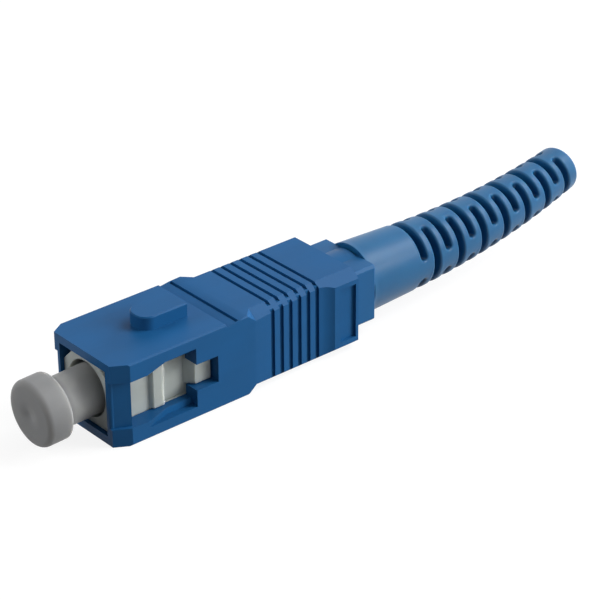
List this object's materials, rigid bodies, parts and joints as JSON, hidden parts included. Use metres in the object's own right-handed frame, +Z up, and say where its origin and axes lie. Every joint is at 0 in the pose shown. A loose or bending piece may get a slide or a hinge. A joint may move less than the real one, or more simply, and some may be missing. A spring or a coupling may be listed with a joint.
{
  "type": "sc fibre connector",
  "caption": "Push-pull SC fibre plug in a blue keyed sleeve, with a slotted bend-relief boot and a dust cap over the ferrule.",
  "frame": {"origin": "centre of the coupling sleeve's front face, on the fibre's axis", "axes": "+X back along the fibre towards the boot, +Z up through the key"},
  "size_m": [0.061, 0.009, 0.0086],
  "materials": {
    "sleeve_plastic": "satin moulded",
    "frame_plastic": "natural moulded",
    "rear_plastic": "semi-gloss moulded",
    "zirconia": "ground",
    "flange_metal": "turned",
    "liner_plastic": "smooth",
    "spring_steel": "drawn wire",
    "plated_brass": "nickel plated",
    "crimp_metal": "nickel plated",
    "boot_rubber": "satin",
    "cap_plastic": "natural, slightly translucent"
  },
  "bodies": {
    "plug": {"plug_frame": "frame_plastic", "rear_body": "rear_plastic", "stop_ring": "plated_brass", "crimp_sleeve": "crimp_metal", "boot": "boot_rubber"},
    "sleeve": {"coupling_sleeve": "sleeve_plastic"},
    "ferrule_assembly": {"ferrule": "zirconia", "ferrule_flange": "flange_metal", "fibre_guide_tube": "liner_plastic", "spring": "spring_steel"},
    "cap": {"dust_cap": "cap_plastic"}
  },
  "joints": [
    {"name": "sleeve_slide", "type": "slide", "parent": "plug", "child": "sleeve", "axis": [1, 0, 0], "range_m": [-0.0001, 0.0018]},
    {"name": "ferrule_float", "type": "slide", "parent": "plug", "child": "ferrule_assembly", "axis": [1, 0, 0], "range_m": [0, 0.0012], "stiffness_N_per_m": 2000, "deforming": ["spring"]},
    {"name": "cap_pull", "type": "slide", "parent": "ferrule_assembly", "child": "cap", "axis": [-1, 0, 0], "range_m": [0, 0.012]}
  ]
}
